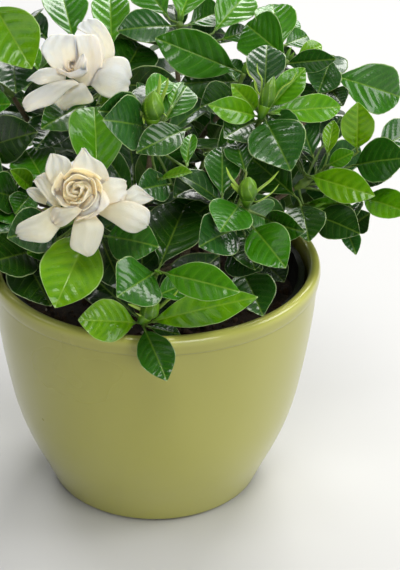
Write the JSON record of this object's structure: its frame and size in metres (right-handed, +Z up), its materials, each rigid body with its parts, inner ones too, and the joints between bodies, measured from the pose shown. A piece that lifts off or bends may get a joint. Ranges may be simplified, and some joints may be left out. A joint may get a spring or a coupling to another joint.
{
  "type": "potted gardenia",
  "caption": "Double-flowered gardenia shrub with glossy evergreen leaves, cream blooms and buds, in a nursery pot inside a round glazed planter.",
  "frame": {"origin": "centre of the planter's flat base, on the surface it stands on", "axes": "+Z up along the planter's axis; the two open flowers face -Y; +X to the right when looking at them"},
  "size_m": [0.2925, 0.2638, 0.2986],
  "materials": {
    "glaze": "gloss",
    "pot_plastic": "satin",
    "potting_mix": "matte",
    "bark": "matte",
    "leaf": "gloss",
    "young_green": "satin",
    "petal_white": "satin",
    "petal_cream": "satin"
  },
  "bodies": {
    "root": {"planter": "glaze", "grower_pot": "pot_plastic", "stem_1": "bark", "stem_2": "bark", "stem_3": "bark", "stem_4": "bark", "stem_5": "bark", "potting_mix": "potting_mix", "flower_1_corolla": "petal_white", "flower_2_corolla": "petal_cream", "flower_1_calyx": "young_green", "flower_2_calyx": "young_green", "flower_bud_1": "young_green", "flower_bud_2": "young_green", "flower_bud_3": "young_green", "flower_bud_4": "young_green", "leafy_shoot_01": "leaf", "leafy_shoot_02": "leaf", "leafy_shoot_03": "leaf", "leafy_shoot_04": "leaf", "leafy_shoot_05": "leaf", "leafy_shoot_06": "leaf", "leafy_shoot_07": "leaf", "leafy_shoot_08": "leaf", "leafy_shoot_09": "leaf", "leafy_shoot_10": "leaf", "leafy_shoot_11": "leaf", "leafy_shoot_12": "leaf", "leafy_shoot_13": "leaf", "leafy_shoot_14": "leaf", "leafy_shoot_15": "leaf", "leafy_shoot_16": "leaf", "leafy_shoot_17": "leaf", "leafy_shoot_18": "leaf", "leafy_shoot_19": "leaf", "leafy_shoot_20": "leaf", "leafy_shoot_21": "leaf", "leafy_shoot_22": "leaf", "leafy_shoot_23": "leaf", "leafy_shoot_24": "leaf", "leafy_shoot_25": "leaf", "leafy_shoot_26": "leaf", "leafy_shoot_27": "leaf", "leafy_shoot_28": "leaf", "leafy_shoot_29": "leaf", "leafy_shoot_30": "leaf", "leafy_shoot_31": "leaf", "leafy_shoot_32": "leaf", "leafy_shoot_33": "leaf", "leafy_shoot_34": "leaf", "leafy_shoot_35": "leaf"}
  },
  "joints": []
}
